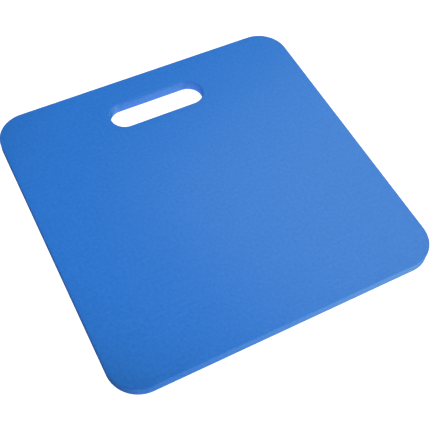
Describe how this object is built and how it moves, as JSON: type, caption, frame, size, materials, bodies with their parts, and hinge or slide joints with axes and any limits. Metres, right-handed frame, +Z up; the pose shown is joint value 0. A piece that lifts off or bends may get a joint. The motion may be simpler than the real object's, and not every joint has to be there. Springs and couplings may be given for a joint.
{
  "type": "kickboard float",
  "caption": "Square foam kickboard float with rounded corners and a hand slot near one edge, sealed in a satin dipped vinyl coat.",
  "frame": {"origin": "on the underside, at the middle of the board", "axes": "+Z up out of the deck; +Y towards the edge that the hand slot is near; +X to the right, along the slot"},
  "size_m": [0.4064, 0.4064, 0.0155],
  "materials": {
    "closed_cell_foam": "matte closed-cell foam, hidden under the coat",
    "blue_vinyl": "satin blue dipped vinyl with a faint grain"
  },
  "bodies": {
    "root": {"foam_core": "closed_cell_foam", "vinyl_coat": "blue_vinyl"}
  },
  "joints": []
}
